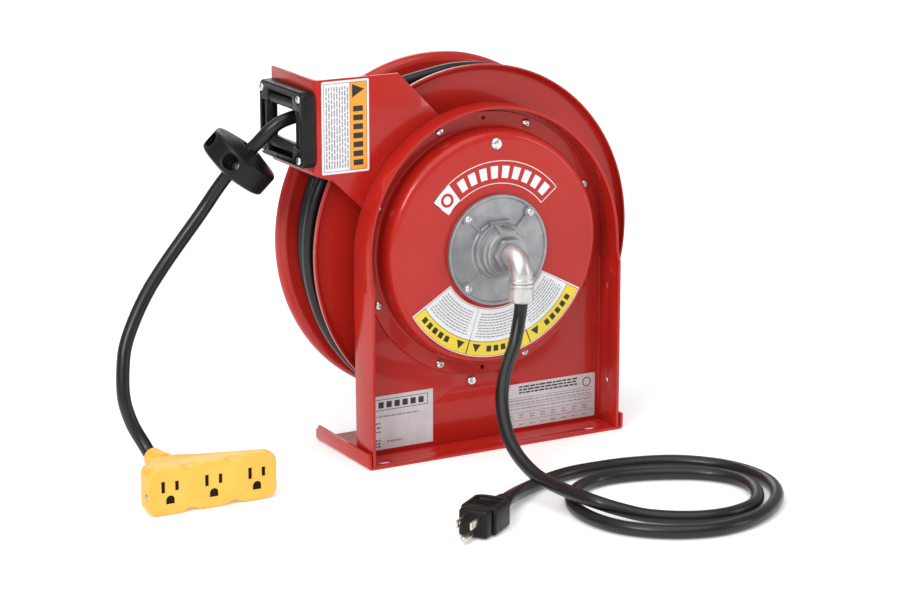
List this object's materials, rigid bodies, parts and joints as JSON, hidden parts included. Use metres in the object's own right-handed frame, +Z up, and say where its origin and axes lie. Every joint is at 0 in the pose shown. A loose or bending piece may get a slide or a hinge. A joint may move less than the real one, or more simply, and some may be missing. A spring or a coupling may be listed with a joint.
{
  "type": "extension cord reel",
  "caption": "Spring-return cord reel on a single arched steel post, with a roller cord guide, a cord stop, a yellow outlet tap and a plug-in supply cord.",
  "frame": {"origin": "on the floor below the spool axis, in the plane of the post web's front face", "axes": "+X right along the post web seen from the front, +Y back from the web towards the spool, +Z up"},
  "size_m": [0.5175, 0.4281, 0.3497],
  "materials": {
    "red_paint": "glossy red powder coat",
    "cast_aluminium": "sand-cast, satin",
    "plated_steel": "bright zinc plate",
    "shaft_steel": "machined",
    "spring_steel": "blued",
    "bronze": "sintered",
    "brass": "bright",
    "black_rubber": "satin",
    "black_plastic": "satin",
    "yellow_plastic": "soft gloss",
    "insulator": "matte",
    "carbon": "matte"
  },
  "bodies": {
    "frame": {"base_plate": "red_paint", "frame_post": "red_paint", "guide_arm": "red_paint", "spring_case": "red_paint", "case_screw_1": "plated_steel", "case_screw_2": "plated_steel", "case_screw_3": "plated_steel", "case_screw_4": "plated_steel", "case_screw_5": "plated_steel", "case_screw_6": "plated_steel", "case_screw_7": "plated_steel", "case_screw_8": "plated_steel", "spring_anchor_bolt": "plated_steel", "mainspring": "spring_steel", "case_bush": "bronze", "post_bush": "bronze", "hub_cover": "cast_aluminium", "cover_screw_1": "plated_steel", "cover_screw_2": "plated_steel", "cover_screw_3": "plated_steel", "cover_screw_4": "plated_steel", "brush_block": "insulator", "brush_1": "carbon", "brush_2": "carbon", "brush_3": "carbon", "hex_nut": "cast_aluminium", "elbow": "cast_aluminium", "gland_nut": "cast_aluminium", "input_cord": "black_rubber", "plug_body": "black_rubber", "plug_blade_1": "brass", "plug_blade_2": "brass", "plug_ground_pin": "brass", "roller_frame": "black_plastic", "guide_screw_1": "plated_steel", "guide_screw_2": "plated_steel", "guide_screw_3": "plated_steel", "guide_screw_4": "plated_steel", "reel_cord": "black_rubber", "cable_stop_1": "black_plastic", "cable_stop_2": "black_plastic", "tap_body": "yellow_plastic", "pawl_pivot_bolt": "plated_steel", "pawl_spring": "spring_steel"},
    "spool": {"main_shaft": "shaft_steel", "spring_arbor": "shaft_steel", "spool_front_flange": "red_paint", "spool_rear_flange": "red_paint", "spool_drum": "red_paint", "wound_cable": "black_rubber", "ratchet_ring": "shaft_steel", "slip_ring_sleeve": "insulator", "slip_ring_1": "brass", "slip_ring_2": "brass", "slip_ring_3": "brass"},
    "roller_top": {"roller_top": "black_plastic"},
    "roller_bottom": {"roller_bottom": "black_plastic"},
    "roller_near": {"roller_near": "black_plastic"},
    "roller_far": {"roller_far": "black_plastic"},
    "latch_pawl": {"latch_pawl": "shaft_steel"}
  },
  "joints": [
    {"name": "spool_spin", "type": "hinge", "parent": "frame", "child": "spool", "pos_m": [0, 0, 0.187], "axis": [0, 1, 0], "continuous": true},
    {"name": "roller_top_spin", "type": "hinge", "parent": "frame", "child": "roller_top", "pos_m": [-0.17155, 0.047, 0.326], "axis": [0, 1, 0], "continuous": true},
    {"name": "roller_bottom_spin", "type": "hinge", "parent": "frame", "child": "roller_bottom", "pos_m": [-0.17155, 0.047, 0.286], "axis": [0, 1, 0], "continuous": true},
    {"name": "roller_near_spin", "type": "hinge", "parent": "frame", "child": "roller_near", "pos_m": [-0.17155, 0.016, 0.306], "axis": [0, 0, 1], "continuous": true},
    {"name": "roller_far_spin", "type": "hinge", "parent": "frame", "child": "roller_far", "pos_m": [-0.17155, 0.078, 0.306], "axis": [0, 0, 1], "continuous": true},
    {"name": "pawl_swing", "type": "hinge", "parent": "frame", "child": "latch_pawl", "pos_m": [-0.0107, 0.0202, 0.059], "axis": [0, 1, 0], "range_deg": [-8, 22], "stiffness_Nm_per_rad": 0.2}
  ]
}
